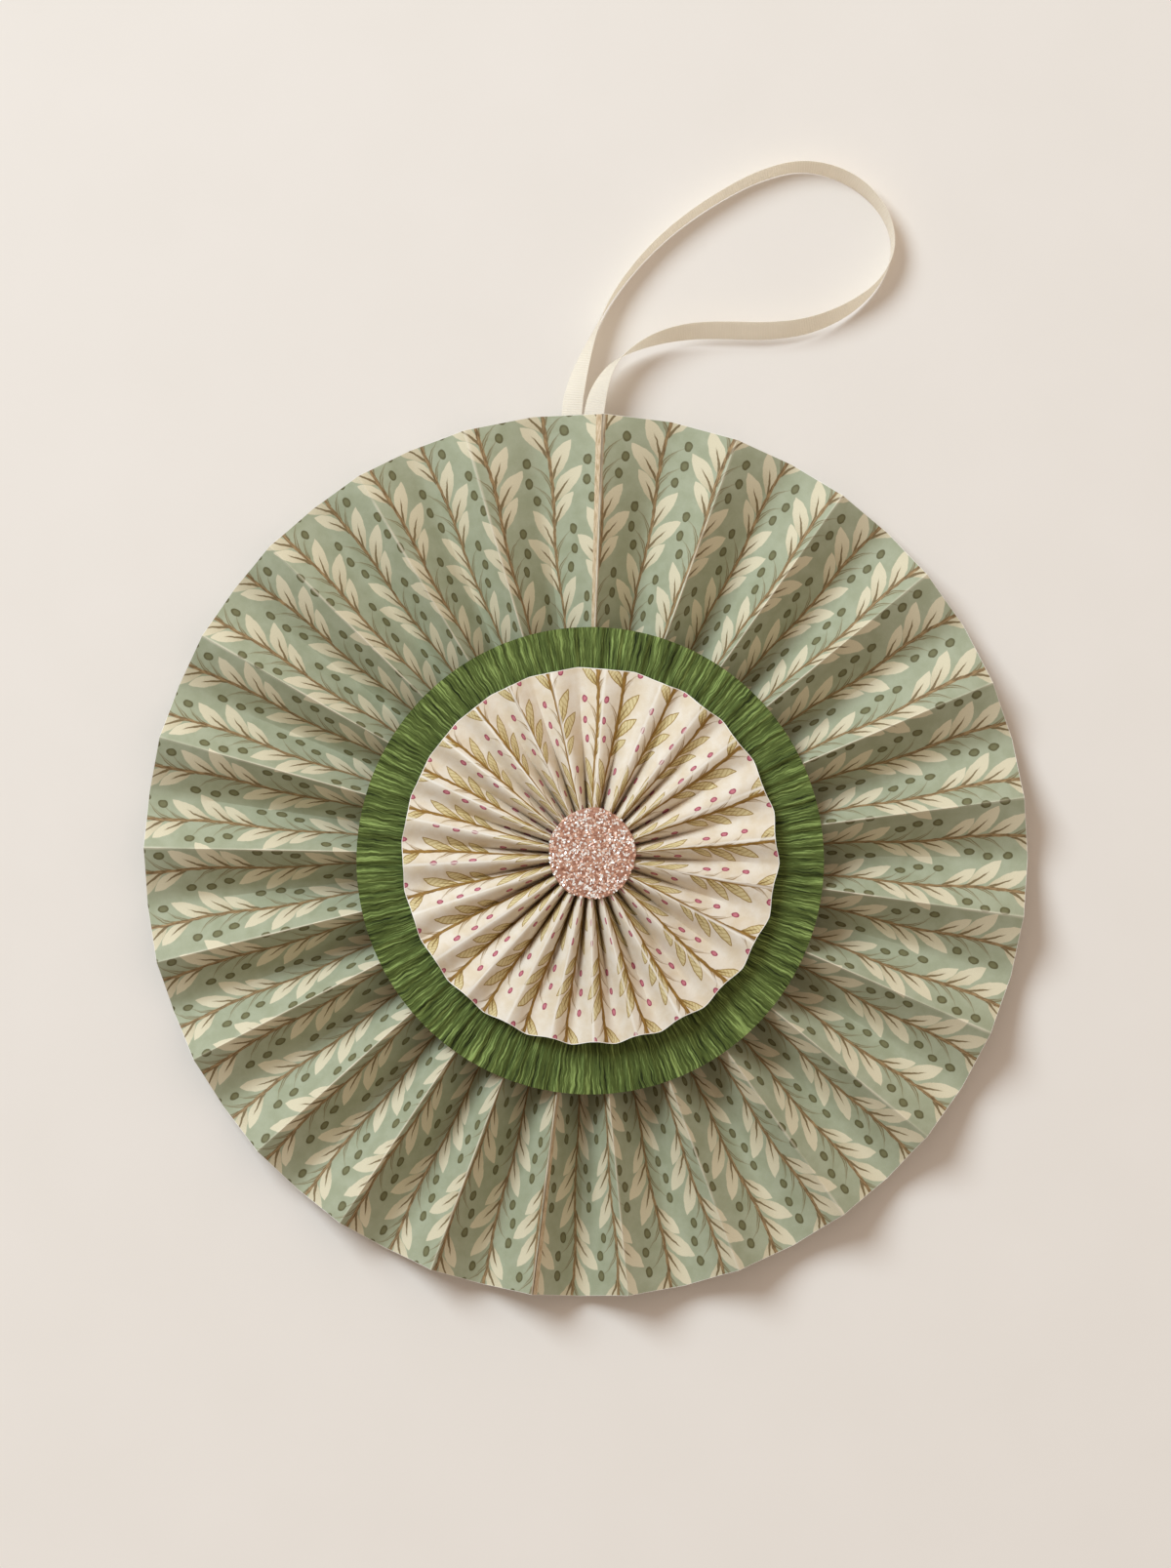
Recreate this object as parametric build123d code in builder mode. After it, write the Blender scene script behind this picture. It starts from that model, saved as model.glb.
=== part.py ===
from build123d import *
import os
from itertools import accumulate
from math import atan2, cos, degrees, hypot, radians, sin, sqrt, tan

# Paper fan medallion, lying on its back. Millimetres, +Z out of the front, +Y towards the hanging loop.
# The origin is the middle of the backing disc's back face. Bearings are degrees clockwise from +Y.

# Backing disc: the card that holds the outer fan's hub shut
backing_diameter = 76.0
backing_thickness = 1.0

# Outer fan: a strip of printed paper folded to and fro, closed to a ring and pressed open.
# Its panels curve outward in flat facets, which meet at the bends, each so far in from the rim.
outer_diameter = 254.0
outer_hub_diameter = 16.0
outer_bend_insets = (40.0, 25.5, 14.5, 6.5)
outer_pleats = 24
outer_paper = 0.3
outer_rim_fold = 6.4
outer_rim_lift = 3.5
outer_first_ridge = 4.54
outer_swings = [(1, 5.0, 31.6), (3, 0.9, 4.0)]

# Crepe ruffle: a length of crepe streamer, gathered to a ring on the outer fan's front folds
crepe_diameter = 133.4
crepe_streamer_width = 44.5
crepe_gathers = 60
crepe_gather_depth = 1.0
crepe_paper = 0.3
crepe_center = (1.2, -1.4)

# Inner fan: a smaller folded ring on the crepe
inner_diameter = 107.8
inner_hub_diameter = 10.0
inner_bend_insets = (36.9, 13.9, 5.9)
inner_pleats = 24
inner_paper = 0.25
inner_rim_fold = 3.4
inner_first_ridge = 9.35
inner_swings = [(1, 5.0, 73.1), (2, 1.4, 100.3), (3, 1.4, 6.6)]
inner_center = (1.2, 0.0)

# Glitter disc: cut by hand, so a little taller than wide
glitter_width = 24.6
glitter_height = 25.8
glitter_thickness = 0.6
glitter_center = (1.7, 0.8)

# Ribbon: both tails are glued side by side under the panel on the left of the top ridge
ribbon_width = 6.35
ribbon_thickness = 0.3
ribbon_tail = 11.0
ribbon_lip = 0.5
ribbon_margin = 0.5
ribbon_glue = 0.4
ribbon_sections = 72

# The loop from the left tail round to the right one: x, y and height of the ribbon's middle, and its roll.
# At a roll of 0 it lies flat, at 90 it stands on its edge, and at 180 it lies flat the other way up.
ribbon_loop = [
    (-1.8, 139.4, 4.9, 46),
    (2.4, 150.6, 4.0, 80),
    (6.9, 160.1, 3.5, 97),
    (15.0, 170.9, 3.3, 104),
    (24.0, 179.8, 3.3, 107),
    (35.5, 188.2, 3.3, 109),
    (49.3, 195.8, 3.2, 113),
    (63.0, 199.3, 3.2, 116),
    (76.8, 195.2, 3.2, 122),
    (86.2, 186.0, 3.2, 110),
    (89.3, 175.0, 3.3, 96),
    (85.0, 164.8, 3.4, 82),
    (75.5, 157.0, 3.7, 60),
    (64.1, 152.2, 4.1, 46),
    (52.0, 150.8, 4.4, 40),
    (41.0, 151.2, 4.6, 40),
    (30.0, 151.0, 4.9, 44),
    (20.0, 148.8, 5.4, 60),
    (11.0, 144.4, 6.4, 88),
    (5.6, 138.8, 7.4, 118),
]

# A panel runs straight from its crisp ridge and turns up softly before its valley
valley_start = 0.82
valley_lift = 0.08

# Room left between papers that lie on each other
seat_gap = 0.15


def uneven_ridges(pleats, first, swings):
    """Bearings of the front folds, which were opened by hand and crowd together on one side."""
    even = [360 * k / pleats for k in range(pleats)]
    return [
        bearing + first + sum(swing * sin(radians(turns * bearing - lag)) for turns, swing, lag in swings)
        for bearing in even
    ]


def panel_chord(radius, pleats):
    """Straight distance from a front fold to the next back fold of an even ring."""
    return 2 * radius * sin(radians(90 / pleats))


def fold_depth(radius, pleats, rim_radius, rim_fold):
    """Depth of the folds at a radius: the paper keeps its width, so it stands deeper towards the hub."""
    paper_width = hypot(panel_chord(rim_radius, pleats), rim_fold)
    return sqrt(paper_width**2 - panel_chord(radius, pleats) ** 2)


def upright(paper, depth, chord):
    """Thickness of a sloping sheet, measured straight up."""
    return paper * hypot(1, depth / chord)


def between(stops, values, place):
    """Value at a place among the stops, in straight lines from one stop to the next."""
    last = len(stops) - 2
    k = next((i for i in range(last) if place < stops[i + 1]), last)
    share = (place - stops[k]) / (stops[k + 1] - stops[k])
    return values[k] + share * (values[k + 1] - values[k])


def on_bearing(center, radius, bearing):
    """Point at a radius and bearing, in plan."""
    return Vector(center[0] + radius * sin(radians(bearing)), center[1] + radius * cos(radians(bearing)))


def underside(chord, back, depth, rise):
    """The three points of a panel's underside, from its ridge to its valley, as run and height."""
    fall = depth - rise
    return [(0, back + fall), (valley_start * chord, back + valley_lift * fall), (chord, back)]


def folded_ring(center, ridges, stations):
    """One closed sheet of flat facets through the stations (radius, back height, depth, upright thickness)."""
    facets = []
    for ridge, next_ridge in zip(ridges, ridges[1:] + [ridges[0] + 360]):
        valley = (ridge + next_ridge) / 2
        for fold in (ridge, next_ridge):
            sections = []
            for radius, back, depth, rise in stations:
                top = on_bearing(center, radius, fold)
                run = on_bearing(center, radius, valley) - top
                profile = underside(run.length, back, depth, rise)
                under = [top + run.normalized() * x + Vector(0, 0, height) for x, height in profile]
                over = [point + Vector(0, 0, rise) for point in under]
                sections.append((under, over))
            for inner, outer in zip(sections, sections[1:]):
                for near, far in zip(inner, outer):
                    for k in (0, 1):
                        facets += [(near[k], near[k + 1], far[k + 1]), (near[k], far[k + 1], far[k])]
            for under, over in (sections[0], sections[-1]):
                facets += [(under[k], under[k + 1], over[k + 1], over[k]) for k in (0, 1)]
    add(Solid(Shell([Face(Wire.make_polygon(corners)) for corners in facets])))


# Backing disc
backing_radius = backing_diameter / 2
with BuildPart() as backing_disc:
    with BuildSketch():
        Circle(backing_radius)
    extrude(amount=backing_thickness)

# Outer fan: its back folds lie on the backing disc and then rise a little to the rim
outer_radius = outer_diameter / 2
crepe_radius = crepe_diameter / 2
outer_bends = [outer_radius - inset for inset in outer_bend_insets]
outer_radii = sorted([outer_hub_diameter / 2, backing_radius, crepe_radius, *outer_bends, outer_radius])
outer_stations = []
for radius in outer_radii:
    rim_share = max(0, radius - backing_radius) / (outer_radius - backing_radius)
    back = backing_thickness + outer_rim_lift * rim_share
    depth = fold_depth(radius, outer_pleats, outer_radius, outer_rim_fold)
    rise = upright(outer_paper, depth, panel_chord(radius, outer_pleats))
    outer_stations.append((radius, back, depth, rise))
outer_ridges = uneven_ridges(outer_pleats, outer_first_ridge, outer_swings)
with BuildPart() as outer_fan:
    folded_ring((0, 0), outer_ridges, outer_stations)

# Crepe ruffle: it lies on the outer fan's front folds
outer_fronts = [back + depth for radius, back, depth, rise in outer_stations]
crepe_radii = [crepe_radius - crepe_streamer_width, backing_radius, crepe_radius]
crepe_stations = []
for radius in crepe_radii:
    back = between(outer_radii, outer_fronts, radius) + seat_gap
    rise = upright(crepe_paper, crepe_gather_depth, panel_chord(radius, crepe_gathers))
    crepe_stations.append((radius, back, crepe_gather_depth + rise, rise))
with BuildPart() as crepe_ruffle:
    folded_ring(crepe_center, uneven_ridges(crepe_gathers, 0, []), crepe_stations)

# Inner fan: its back folds lie on the crepe's crests
inner_radius = inner_diameter / 2
inner_bends = [inner_radius - inset for inset in inner_bend_insets]
inner_radii = sorted([inner_hub_diameter / 2, *inner_bends, inner_radius])
crepe_crests = [back + depth for radius, back, depth, rise in crepe_stations]
inner_stations = []
for radius in inner_radii:
    back = between(crepe_radii, crepe_crests, max(radius, crepe_radii[0])) + seat_gap
    depth = fold_depth(radius, inner_pleats, inner_radius, inner_rim_fold)
    rise = upright(inner_paper, depth, panel_chord(radius, inner_pleats))
    inner_stations.append((radius, back, depth, rise))
inner_ridges = uneven_ridges(inner_pleats, inner_first_ridge, inner_swings)
with BuildPart() as inner_fan:
    folded_ring(inner_center, inner_ridges, inner_stations)

# Glitter disc: it lies on the ends of the inner fan's front folds
_, inner_hub_back, inner_hub_depth, _ = inner_stations[0]
with BuildPart() as glitter_disc:
    with BuildSketch(Plane((*glitter_center, inner_hub_back + inner_hub_depth))):
        Ellipse(glitter_width / 2, glitter_height / 2)
    extrude(amount=glitter_thickness)


def tail_point(radius, places):
    """Middle and roll of a tail under the panel on the left of the top ridge, so many ribbon widths from it."""
    back, depth, rise = (between(outer_radii, column, radius) for column in list(zip(*outer_stations))[1:])
    top = on_bearing((0, 0), radius, outer_ridges[0])
    run = on_bearing((0, 0), radius, (outer_ridges[-1] - 360 + outer_ridges[0]) / 2) - top
    ridge, knee, valley = underside(run.length, back, depth, rise)
    slope = atan2(ridge[1] - knee[1], knee[0])
    down_panel = places * (ribbon_width + ribbon_margin) - ribbon_width / 2
    middle = top + run.normalized() * down_panel * cos(slope)
    below = (ribbon_glue + ribbon_thickness / 2) / cos(slope)
    return (middle.X, middle.Y, ridge[1] - down_panel * sin(slope) - below, degrees(slope))


# Ribbon: the tails take their place and slope from the panel that they are glued to
tail_end = outer_radius - ribbon_tail
tail_lip = outer_radius + ribbon_lip
left_tail = [tail_point(radius, 2) for radius in (tail_end, tail_lip)]
right_tail = [(x, y, z, 180 - roll) for x, y, z, roll in (tail_point(radius, 1) for radius in (tail_lip, tail_end))]
ribbon_route = left_tail + ribbon_loop + right_tail
ribbon_points = [Vector(x, y, z) for x, y, z, roll in ribbon_route]
ribbon_rolls = [roll for x, y, z, roll in ribbon_route]
ribbon_runs = [after - before for before, after in zip(ribbon_points, ribbon_points[1:])]
ribbon_turns = [before.get_angle(after) for before, after in zip(ribbon_runs, ribbon_runs[1:])]
# Each bend is as wide as the shorter of its two runs allows
bend_share = 0.45
ribbon_bends = [
    bend_share * min(before.length, after.length) / tan(radians(turn / 2))
    for before, after, turn in zip(ribbon_runs, ribbon_runs[1:], ribbon_turns)
]
print("ribbon bends, mm:", [round(bend, 1) for bend in ribbon_bends])

with BuildPart() as ribbon_loop_part:
    with BuildLine() as ribbon_line:
        FilletPolyline(*ribbon_points, radius=ribbon_bends)
    path = ribbon_line.wire()
    run_lengths = [run.length for run in ribbon_runs]
    stops = [length / sum(run_lengths) for length in accumulate(run_lengths, initial=0)]
    ribbon_faces = []
    for k in range(ribbon_sections + 1):
        place = k / ribbon_sections
        ahead = path % place
        side = ahead.cross(Vector(0, 0, 1)).normalized()
        roll = radians(between(stops, ribbon_rolls, place))
        across = side * cos(roll) + side.cross(ahead) * sin(roll)
        with BuildSketch(Plane(path @ place, x_dir=across, z_dir=ahead)) as section:
            Rectangle(ribbon_width, ribbon_thickness)
        ribbon_faces.append(section.sketch)
    loft(ribbon_faces, ruled=True)
print("ribbon length, mm:", round(path.length, 1))

os.makedirs("parts", exist_ok=True)
pieces = {
    "backing_disc": backing_disc,
    "outer_fan": outer_fan,
    "crepe_ruffle": crepe_ruffle,
    "inner_fan": inner_fan,
    "glitter_disc": glitter_disc,
    "ribbon_loop": ribbon_loop_part,
}
for label, piece in pieces.items():
    piece.part.label = label
    export_step(piece.part, f"parts/{label}.step")
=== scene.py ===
from math import cos, hypot, pi, radians, sin, sqrt

import bpy
import numpy as np
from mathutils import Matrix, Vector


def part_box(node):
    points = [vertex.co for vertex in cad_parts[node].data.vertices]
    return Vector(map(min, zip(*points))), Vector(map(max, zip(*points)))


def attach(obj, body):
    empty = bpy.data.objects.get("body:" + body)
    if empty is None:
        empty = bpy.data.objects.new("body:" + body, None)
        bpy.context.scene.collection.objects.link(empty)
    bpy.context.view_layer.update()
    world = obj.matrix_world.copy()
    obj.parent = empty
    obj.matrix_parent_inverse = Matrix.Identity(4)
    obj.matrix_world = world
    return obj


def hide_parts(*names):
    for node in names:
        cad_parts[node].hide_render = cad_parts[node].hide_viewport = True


# Paper fan medallion, lying on its back on a pale table and seen from straight above.
# Shapes are worked out in millimetres, in the frame of the model, and turned to metres as each mesh is made.
# Bearings are degrees clockwise from +Y, which points to the hanging loop.

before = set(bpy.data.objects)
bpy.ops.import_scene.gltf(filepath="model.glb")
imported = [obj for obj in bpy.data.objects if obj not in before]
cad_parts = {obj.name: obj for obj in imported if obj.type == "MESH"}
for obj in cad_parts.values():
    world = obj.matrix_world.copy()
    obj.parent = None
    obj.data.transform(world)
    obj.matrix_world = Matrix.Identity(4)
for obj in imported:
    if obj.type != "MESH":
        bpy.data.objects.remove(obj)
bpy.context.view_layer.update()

mm = 0.001

# Photograph
image_width = 1200
image_height = 1607
image_scale = 3.563
fan_pixel = (600.5, 876.5)
camera_height = 1600.0
scale_height = 6.0
sensor_width = 36.0

# Light: a round window, and the room's own light, which leans towards one side
window_bearing = 318
window_elevation = 40
window_distance = 3600.0
window_diameter = 1800.0
window_strength = 2.7
window_color = (0.86, 1.0, 1.11)
room_strength = 0.48
room_color = (1.1, 0.92, 0.78, 1.0)
room_lean = (0.3, 0.4, 0.0)
table_half = 3000.0

# Outer fan: its strips, glued end to end, differ in how far in their print lies. Ridges are bearings.
outer_radius = 127.0
outer_hub_radius = 8.0
outer_paper = 0.3
outer_rim_fold = 6.4
outer_rim_lift = 3.5
outer_shifts = [0.0, 12.4]
outer_lap = 1.9
outer_ridges = [
    2.3, 20.0, 35.5, 50.5, 67.0, 82.5, 98.0, 113.7, 129.5, 144.3, 159.7, 174.5,
    187.0, 200.5, 213.8, 228.0, 242.5, 256.0, 271.0, 285.5, 299.8, 314.3, 329.0, 344.0,
]
backing_radius = 38.0
backing_thickness = 1.0

# Crepe ruffle: each wave has a count round the ring and a share of the gather depth.
# Inside the seen radius the inner fan covers it.
crepe_center = (1.2, -1.4)
crepe_radius = 66.7
crepe_hub_radius = 22.2
crepe_gather_depth = 1.0
crepe_paper = 0.3
crepe_waves = [(60, 0.2), (97, 0.14), (151, 0.12), (211, 0.08)]
crepe_columns = 1200
crepe_seen_radius = 44.0
seat_gap = 0.15

# Inner fan
inner_center = (1.2, 0.0)
inner_radius = 53.9
inner_hub_radius = 5.0
inner_paper = 0.25
inner_rim_fold = 3.4
inner_ridges = [
    4.6, 22.6, 37.3, 51.2, 68.2, 84.4, 100.1, 117.8, 134.8, 150.9, 165.5, 179.0,
    192.4, 206.9, 221.6, 236.1, 251.8, 267.1, 281.8, 295.3, 308.5, 321.9, 334.4, 347.8,
]

# Ribbon: x, y and height of its middle and its roll, from the left tail round to the right one
ribbon_width = 6.35
ribbon_thickness = 0.3
ribbon_route = [
    (-4.3, 115.8, 7.8, 25), (-4.6, 127.3, 7.0, 14),
    (-1.8, 139.4, 4.9, 46), (2.4, 150.6, 4.0, 80), (6.9, 160.1, 3.5, 97), (15.0, 170.9, 3.3, 104),
    (24.0, 179.8, 3.3, 107), (35.5, 188.2, 3.3, 109), (49.3, 195.8, 3.2, 113), (63.0, 199.3, 3.2, 116),
    (76.8, 195.2, 3.2, 122), (86.2, 186.0, 3.2, 110), (89.3, 175.0, 3.3, 96), (85.0, 164.8, 3.4, 82),
    (75.5, 157.0, 3.7, 60), (64.1, 152.2, 4.1, 46), (52.0, 150.8, 4.4, 40), (41.0, 151.2, 4.6, 40),
    (30.0, 151.0, 4.9, 44), (20.0, 148.8, 5.4, 60), (11.0, 144.4, 6.4, 88), (5.6, 138.8, 7.4, 118),
    (1.7, 127.3, 8.1, 166), (1.75, 115.8, 10.2, 155),
]
ribbon_rib = 0.7
ribbon_rib_edge = 0.06
ribbon_rib_height = 0.03

# Places across the ribbon, in half widths, and how much of its thickness it has there
ribbon_places = np.array([-1, -0.93, -0.45, 0.0, 0.45, 0.93, 1])
ribbon_fullness = [0.55, 0.9, 1.0, 1.0, 1.0, 0.9, 0.55]

seed = np.random.default_rng(7)


def linear(red, green, blue):
    """Colour for a shader from its 0 to 255 values on a screen."""
    parts = [v / 255 for v in (red, green, blue)]
    return tuple(p / 12.92 if p <= 0.04045 else ((p + 0.055) / 1.055) ** 2.4 for p in parts) + (1.0,)


class Wiring:
    """Short names for the nodes of one material."""

    def __init__(self, name):
        self.material = bpy.data.materials.new(name)
        self.material.use_nodes = True
        self.tree = self.material.node_tree
        self.shader = next(n for n in self.tree.nodes if n.type == "BSDF_PRINCIPLED")

    def feed(self, socket, value):
        if isinstance(value, bpy.types.NodeSocket):
            self.tree.links.new(value, socket)
        else:
            socket.default_value = value

    def node(self, kind, inputs=None, **settings):
        made = self.tree.nodes.new(kind)
        for key, value in settings.items():
            setattr(made, key, value)
        for key, value in (inputs or {}).items():
            self.feed(made.inputs[key], value)
        return made

    def math(self, operation, *values):
        return self.node("ShaderNodeMath", dict(enumerate(values)), operation=operation).outputs[0]

    def step(self, value, low, high):
        """0 below low, 1 above high and a soft change between them."""
        inputs = {"Value": value, "From Min": low, "From Max": high}
        return self.node("ShaderNodeMapRange", inputs, interpolation_type="SMOOTHSTEP").outputs[0]

    def mix(self, share, low, high):
        made = self.node("ShaderNodeMix", {0: share, 6: low, 7: high}, data_type="RGBA")
        return made.outputs[2]

    def uv(self, name):
        made = self.node("ShaderNodeUVMap", uv_map=name)
        parts = self.node("ShaderNodeSeparateXYZ", {0: made.outputs[0]})
        return parts.outputs[0], parts.outputs[1]

    def noise(self, x, y, scale, detail=2.0, roughness=0.5):
        place = self.node("ShaderNodeCombineXYZ", {0: x, 1: y}).outputs[0]
        inputs = {"Vector": place, "Scale": scale, "Detail": detail, "Roughness": roughness}
        return self.node("ShaderNodeTexNoise", inputs).outputs["Fac"]

    def bump(self, height, strength, distance):
        inputs = {"Height": height, "Strength": strength, "Distance": distance * mm}
        self.feed(self.shader.inputs["Normal"], self.node("ShaderNodeBump", inputs).outputs[0])

    def let_through(self, share, color):
        """Part of the light passes through the cloth and spreads on its other side."""
        through = self.node("ShaderNodeBsdfTranslucent", {"Color": color}).outputs[0]
        both = self.node("ShaderNodeMixShader", {0: share, 1: self.shader.outputs[0], 2: through})
        output = next(n for n in self.tree.nodes if n.type == "OUTPUT_MATERIAL")
        self.feed(output.inputs["Surface"], both.outputs[0])

    def finish(self, color, roughness, **sockets):
        self.feed(self.shader.inputs["Base Color"], color)
        self.feed(self.shader.inputs["Roughness"], roughness)
        for key, value in sockets.items():
            self.shader.inputs[key.replace("_", " ")].default_value = value
        return self.material


def quad_object(name, points, quads, uv_maps, slots, materials, sharp_angle):
    """Mesh object from points in millimetres, with a UV map and a material for each quad."""
    mesh = bpy.data.meshes.new(name)
    mesh.from_pydata((np.asarray(points) * mm).tolist(), [], np.asarray(quads).tolist())
    for label, corners in uv_maps.items():
        layer = mesh.uv_layers.new(name=label)
        layer.uv.foreach_set("vector", np.asarray(corners, dtype=np.float32).ravel())
    for material in materials:
        mesh.materials.append(material)
    mesh.polygons.foreach_set("material_index", np.asarray(slots, dtype=np.int32))
    mesh.shade_smooth()
    mesh.set_sharp_from_angle(angle=radians(sharp_angle))
    made = bpy.data.objects.new(name, mesh)
    bpy.context.scene.collection.objects.link(made)
    return made


def stand_for(piece, node):
    """The piece takes the place of the model's solid and its finish."""
    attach(piece, "root")
    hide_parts(node)


# Folded fans

pleats = 24
panels = 2 * pleats
panel_columns = 10

# The crowding of the pleats counts no lower than this, and panels and ridges stray by about the unevenness
least_crowding = -1.3
unevenness = 0.35

# Share of a rim's wave that is left on the side away from the spring
calm_wave = 0.3


def panel_chord(radius):
    """Straight distance from a fold to the next in an even ring."""
    return 2 * radius * sin(radians(90 / pleats))


def panel_width(rim_radius, rim_fold):
    """Width of the paper between two folds."""
    return hypot(panel_chord(rim_radius), rim_fold)


def fold_depth(radius, rim_radius, rim_fold):
    """Depth of the folds: the paper keeps its width, so it stands deeper towards the hub."""
    return sqrt(panel_width(rim_radius, rim_fold) ** 2 - panel_chord(radius) ** 2)


def outer_loose(radius):
    """0 over the backing disc, which holds the outer fan flat, and 1 at the rim."""
    return max(0, radius - backing_radius) / (outer_radius - backing_radius)


def outer_back(radius):
    """Height of the outer fan's back folds."""
    return backing_thickness + outer_rim_lift * outer_loose(radius)


def outer_front(radius):
    """Height of the outer fan's front folds."""
    return outer_back(radius) + fold_depth(radius, outer_radius, outer_rim_fold)


def crepe_crest(radius):
    """Height of the crepe's crests."""
    return outer_front(radius) + seat_gap + crepe_gather_depth + crepe_paper


def inner_back(radius):
    """Height of the inner fan's back folds."""
    return crepe_crest(max(radius, crepe_hub_radius)) + seat_gap


def crisp_fold(share, out):
    """Height of a panel from its crisp ridge at 0 to its soft valley at 1."""
    softness = 0.15
    return (np.sqrt((1 - share) ** 2 + softness**2) - softness) / (sqrt(1 + softness**2) - softness)


def round_fold(share, out):
    """Height of a panel with broad round ridges and narrow grooves at the hub, and even waves at the rim."""
    hub = 1 - share**2.6
    rim = 0.5 + 0.32 * np.cos(pi * share)
    spread = min(1, max(0, (out - 0.35) / 0.5))
    return hub + spread * (rim - hub)


def folded_fan(name, center, ridges, radii, back, rim_fold, paper, fold, shifts, materials, sag, spring, wave):
    """A closed ring of paper, folded to and fro: printed front, plain back and cut edges.

    Its folds are deeper where the pleats crowd, one side springs up and the ridges end short of the valleys.
    It is glued from as many strips as there are shifts, by which the print of each strip lies further in.
    """
    across = panel_columns
    rim = radii[-1]
    width = panel_width(rim, rim_fold)
    spans = np.radians(np.diff(ridges + [ridges[0] + 360]))
    crowding = np.maximum(least_crowding, panel_chord(rim) - 2 * rim * np.sin(spans / 4))
    ridge_crowding = (crowding + np.roll(crowding, 1)) / 2
    spring_height, spring_bearing = spring
    folds = []
    for ridge, after in zip(ridges, ridges[1:] + [ridges[0] + 360]):
        folds += [ridge, (ridge + after) / 2]
    folds.append(folds[0] + 360)
    share = np.linspace(0, 1, across, endpoint=False)
    bulge = seed.normal(0, unevenness, panels)
    lift = seed.normal(0, unevenness, pleats)
    rows = len(radii)
    columns = panels * across
    tops, unders = [], []
    for radius in radii:
        depth = fold_depth(radius, rim, rim_fold)
        rise = paper * hypot(1, depth / panel_chord(radius))
        outward = (radius / rim) ** 2
        valley_share, ridge_share = sag(radius)
        for panel in range(panels):
            start, end = (
                np.array([center[0] + radius * sin(radians(b)), center[1] + radius * cos(radians(b))])
                for b in folds[panel : panel + 2]
            )
            from_ridge = share if panel % 2 == 0 else 1 - share
            ridge = ((panel + 1) // 2) % pleats
            sink = valley_share * crowding[panel // 2]
            swell = ridge_share * ridge_crowding[ridge] + lift[ridge] * outward
            valley = back(radius) - sink + rise
            height = valley + (depth - rise + sink + swell) * fold(from_ridge, radius / rim)
            height = height + bulge[panel] * outward * np.sin(pi * share)
            bearing = folds[panel] + share * (folds[panel + 1] - folds[panel])
            sprung = (1 + np.cos(np.radians(bearing - spring_bearing))) / 2
            height = height + spring_height * outward**2 * sprung
            plan = start + share[:, None] * (end - start)
            ahead = np.column_stack([np.sin(np.radians(bearing)), np.cos(np.radians(bearing))])
            swing = wave * outward * (calm_wave + (1 - calm_wave) * sprung)
            short = swing * (0.5 + 0.5 * np.cos(pi * from_ridge))
            plan = plan - short[:, None] * ahead
            tops.append(np.column_stack([plan, height]))
            unders.append(np.column_stack([plan, height - rise]))
    points = np.concatenate(tops + unders)

    def corner(side, row, column):
        return side * rows * columns + row * columns + column % columns

    quads, prints, bakes, slots = [], [], [], []
    strip_panels = panels // len(shifts)
    for panel in range(panels):
        strip = panel // strip_panels
        strip_start, strip_shift = strip_panels * strip, shifts[strip]
        for k in range(across):
            column = panel * across + k
            near, far = k / across, (k + 1) / across
            a0, a1 = ((panel - strip_start + s) * width for s in (near, far))
            for row in range(rows - 1):
                b0, b1 = (radii[i] - strip_shift for i in (row, row + 1))
                v0, v1 = row / (rows - 1), (row + 1) / (rows - 1)
                flat = [(a0, b0), (a1, b0), (a1, b1), (a0, b1)]
                top = [corner(0, row, column), corner(0, row, column + 1)]
                top += [corner(0, row + 1, column + 1), corner(0, row + 1, column)]
                quads.append(top)
                prints.append(flat)
                bakes.append(front_cell(panel, near, far, v0, v1))
                slots.append(2 if row == rows - 2 else 0)
                quads.append([c + rows * columns for c in reversed(top)])
                prints.append(flat[::-1])
                bakes.append(back_cell(panel, near, far, v0, v1)[::-1])
                slots.append(1)
            for row, turn in ((rows - 1, 1), (0, -1)):
                edge = [corner(1, row, column), corner(0, row, column)]
                edge += [corner(0, row, column + 1), corner(1, row, column + 1)]
                b = radii[row] - strip_shift
                quads.append(edge[::turn])
                prints.append([(a0, b), (a0, b), (a1, b), (a1, b)][::turn])
                bakes.append(edge_cell(panel, near, far, row)[::turn])
                slots.append(2)
    uv_maps = {"print": prints, "OFBake": bakes}
    return quad_object(name, points, quads, uv_maps, slots, materials, sharp_angle=32)


# Shares of the map for baking: the printed panels in three rows, the back and edges below them
bake_rows = 3
bake_columns = panels // bake_rows
bake_front = 0.07


def front_cell(panel, near, far, low, high):
    """Place of a printed quad on the baked map."""
    row, column = divmod(panel, bake_columns)
    u0, u1 = ((column + 0.03 + 0.94 * s) / bake_columns for s in (near, far))
    v0, v1 = (bake_front + (1 - bake_front) * (row + 0.01 + 0.98 * s) / bake_rows for s in (low, high))
    return [(u0, v0), (u1, v0), (u1, v1), (u0, v1)]


def back_cell(panel, near, far, low, high):
    """Place of a quad of the back on the baked map."""
    u0, u1 = ((panel + 0.05 + 0.9 * s) / panels for s in (near, far))
    v0, v1 = (0.002 + 0.044 * s for s in (low, high))
    return [(u0, v0), (u1, v0), (u1, v1), (u0, v1)]


def edge_cell(panel, near, far, row):
    """Place of a quad of the cut edge on the baked map."""
    u0, u1 = ((panel + 0.05 + 0.9 * s) / panels for s in (near, far))
    v0 = 0.05 if row == 0 else 0.06
    return [(u0, v0), (u0, v0 + 0.006), (u1, v0 + 0.006), (u1, v0)]


# Printed trails of leaves and berries

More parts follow.
